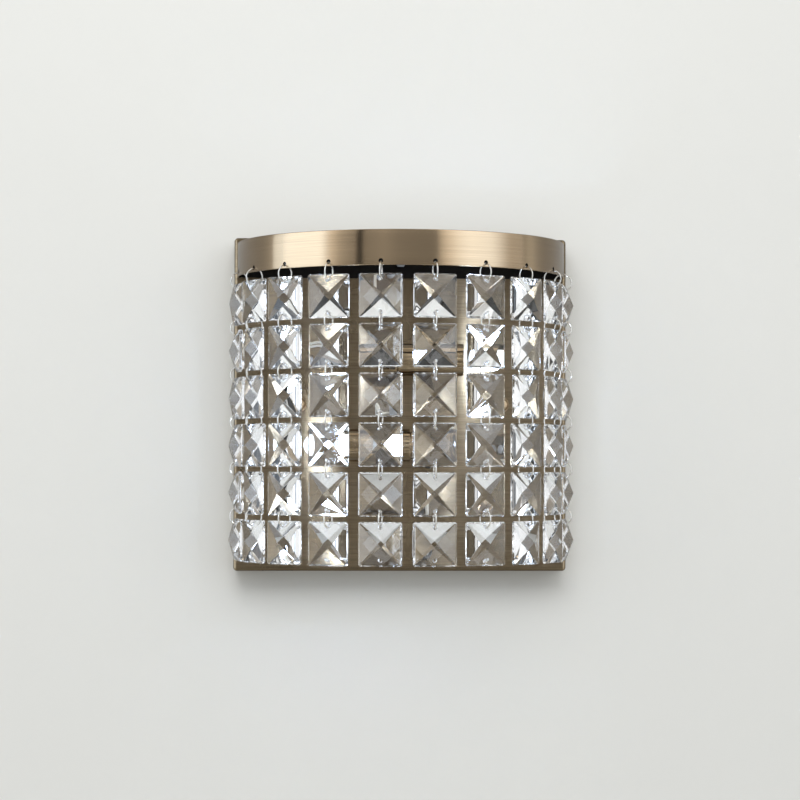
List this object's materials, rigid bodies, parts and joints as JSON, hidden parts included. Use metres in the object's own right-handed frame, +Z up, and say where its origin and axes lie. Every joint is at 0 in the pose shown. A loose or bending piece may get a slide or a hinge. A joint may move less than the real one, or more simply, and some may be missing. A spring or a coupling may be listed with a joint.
{
  "type": "wall sconce",
  "caption": "Flush mount wall sconce: square brushed brass back plate, half-round brass cap and a half drum of linked square crystals round two plug-in capsule lamps.",
  "frame": {"origin": "on the wall plane, midway between the two wall screws of the strap behind the back plate", "axes": "+Z up, the light faces -Y, the wall is the plane y = 0 and +X is to the right as seen from the front"},
  "size_m": [0.231, 0.1395, 0.225],
  "materials": {
    "brass": "brushed and antiqued brass, brushed level on the back plate and round the band, clear lacquer",
    "holder_brass": "antiqued brass tube and strip, satin, clear lacquer",
    "black_paint": "matt black paint",
    "zinc_steel": "bright zinc plate",
    "ceramic": "white steatite ceramic, unglazed satin",
    "bright_brass": "bright turned brass",
    "lamp_glass": "clear fused glass with a lit filament inside",
    "lamp_wire": "drawn nickel and tungsten wire",
    "block_plastic": "natural moulded plastic",
    "bush_rubber": "black moulded rubber",
    "lead_sleeve": "woven glass-fibre sleeve with silicone coating",
    "crystal": "clear cut and polished crystal",
    "ring_wire": "plated spring wire"
  },
  "bodies": {
    "wall_unit": {"back_plate": "brass", "wall_strap": "zinc_steel", "strap_studs": "zinc_steel", "stud_lock_nuts": "zinc_steel", "dome_nuts": "brass", "dome_nut_washers": "brass", "cap_band": "brass", "cap_flange": "black_paint", "cap_screws": "zinc_steel", "cap_nuts": "zinc_steel", "upper_holder_bracket": "holder_brass", "lower_holder_bracket": "holder_brass", "bracket_screws": "zinc_steel", "bracket_nuts": "zinc_steel", "upper_holder_cover": "holder_brass", "lower_holder_cover": "holder_brass", "nipples": "zinc_steel", "nipple_nuts": "zinc_steel", "upper_socket": "ceramic", "lower_socket": "ceramic", "upper_contacts": "bright_brass", "lower_contacts": "bright_brass", "terminal_block": "block_plastic", "terminal_sleeves": "bright_brass", "terminal_screws": "zinc_steel", "block_screw": "zinc_steel", "earth_screw": "bright_brass", "earth_tag": "bright_brass", "lead_bushes": "bush_rubber", "upper_leads": "lead_sleeve", "lower_leads": "lead_sleeve", "earth_lead": "lead_sleeve"},
    "upper_lamp": {"upper_lamp_glass": "lamp_glass", "upper_lamp_pins": "lamp_wire", "upper_filament": "lamp_wire"},
    "lower_lamp": {"lower_lamp_glass": "lamp_glass", "lower_lamp_pins": "lamp_wire", "lower_filament": "lamp_wire"},
    "string_1": {"crystals_1": "crystal", "rings_1": "ring_wire"},
    "string_2": {"crystals_2": "crystal", "rings_2": "ring_wire"},
    "string_3": {"crystals_3": "crystal", "rings_3": "ring_wire"},
    "string_4": {"crystals_4": "crystal", "rings_4": "ring_wire"},
    "string_5": {"crystals_5": "crystal", "rings_5": "ring_wire"},
    "string_6": {"crystals_6": "crystal", "rings_6": "ring_wire"},
    "string_7": {"crystals_7": "crystal", "rings_7": "ring_wire"},
    "string_8": {"crystals_8": "crystal", "rings_8": "ring_wire"},
    "string_9": {"crystals_9": "crystal", "rings_9": "ring_wire"},
    "string_10": {"crystals_10": "crystal", "rings_10": "ring_wire"}
  },
  "joints": [
    {"name": "string_1_swing", "type": "hinge", "parent": "wall_unit", "child": "string_1", "pos_m": [-0.10855, -0.04119, 0.08755], "axis": [-0.1564, 0.9877, 0], "range_deg": [-4, 25]},
    {"name": "string_2_swing", "type": "hinge", "parent": "wall_unit", "child": "string_2", "pos_m": [-0.09792, -0.07389, 0.08755], "axis": [-0.454, 0.891, 0], "range_deg": [-4, 25]},
    {"name": "string_3_swing", "type": "hinge", "parent": "wall_unit", "child": "string_3", "pos_m": [-0.07771, -0.10171, 0.08755], "axis": [-0.7071, 0.7071, 0], "range_deg": [-4, 25]},
    {"name": "string_4_swing", "type": "hinge", "parent": "wall_unit", "child": "string_4", "pos_m": [-0.04989, -0.12192, 0.08755], "axis": [-0.891, 0.454, 0], "range_deg": [-4, 25]},
    {"name": "string_5_swing", "type": "hinge", "parent": "wall_unit", "child": "string_5", "pos_m": [-0.01719, -0.13255, 0.08755], "axis": [-0.9877, 0.1564, 0], "range_deg": [-4, 25]},
    {"name": "string_6_swing", "type": "hinge", "parent": "wall_unit", "child": "string_6", "pos_m": [0.01719, -0.13255, 0.08755], "axis": [-0.9877, -0.1564, 0], "range_deg": [-4, 25]},
    {"name": "string_7_swing", "type": "hinge", "parent": "wall_unit", "child": "string_7", "pos_m": [0.04989, -0.12192, 0.08755], "axis": [-0.891, -0.454, 0], "range_deg": [-4, 25]},
    {"name": "string_8_swing", "type": "hinge", "parent": "wall_unit", "child": "string_8", "pos_m": [0.07771, -0.10171, 0.08755], "axis": [-0.7071, -0.7071, 0], "range_deg": [-4, 25]},
    {"name": "string_9_swing", "type": "hinge", "parent": "wall_unit", "child": "string_9", "pos_m": [0.09792, -0.07389, 0.08755], "axis": [-0.454, -0.891, 0], "range_deg": [-4, 25]},
    {"name": "string_10_swing", "type": "hinge", "parent": "wall_unit", "child": "string_10", "pos_m": [0.10855, -0.04119, 0.08755], "axis": [-0.1564, -0.9877, 0], "range_deg": [-4, 25]},
    {"name": "upper_lamp_pull", "type": "slide", "parent": "wall_unit", "child": "upper_lamp", "axis": [1, 0, 0], "range_m": [0, 0.014]},
    {"name": "lower_lamp_pull", "type": "slide", "parent": "wall_unit", "child": "lower_lamp", "axis": [-1, 0, 0], "range_m": [0, 0.014]}
  ]
}
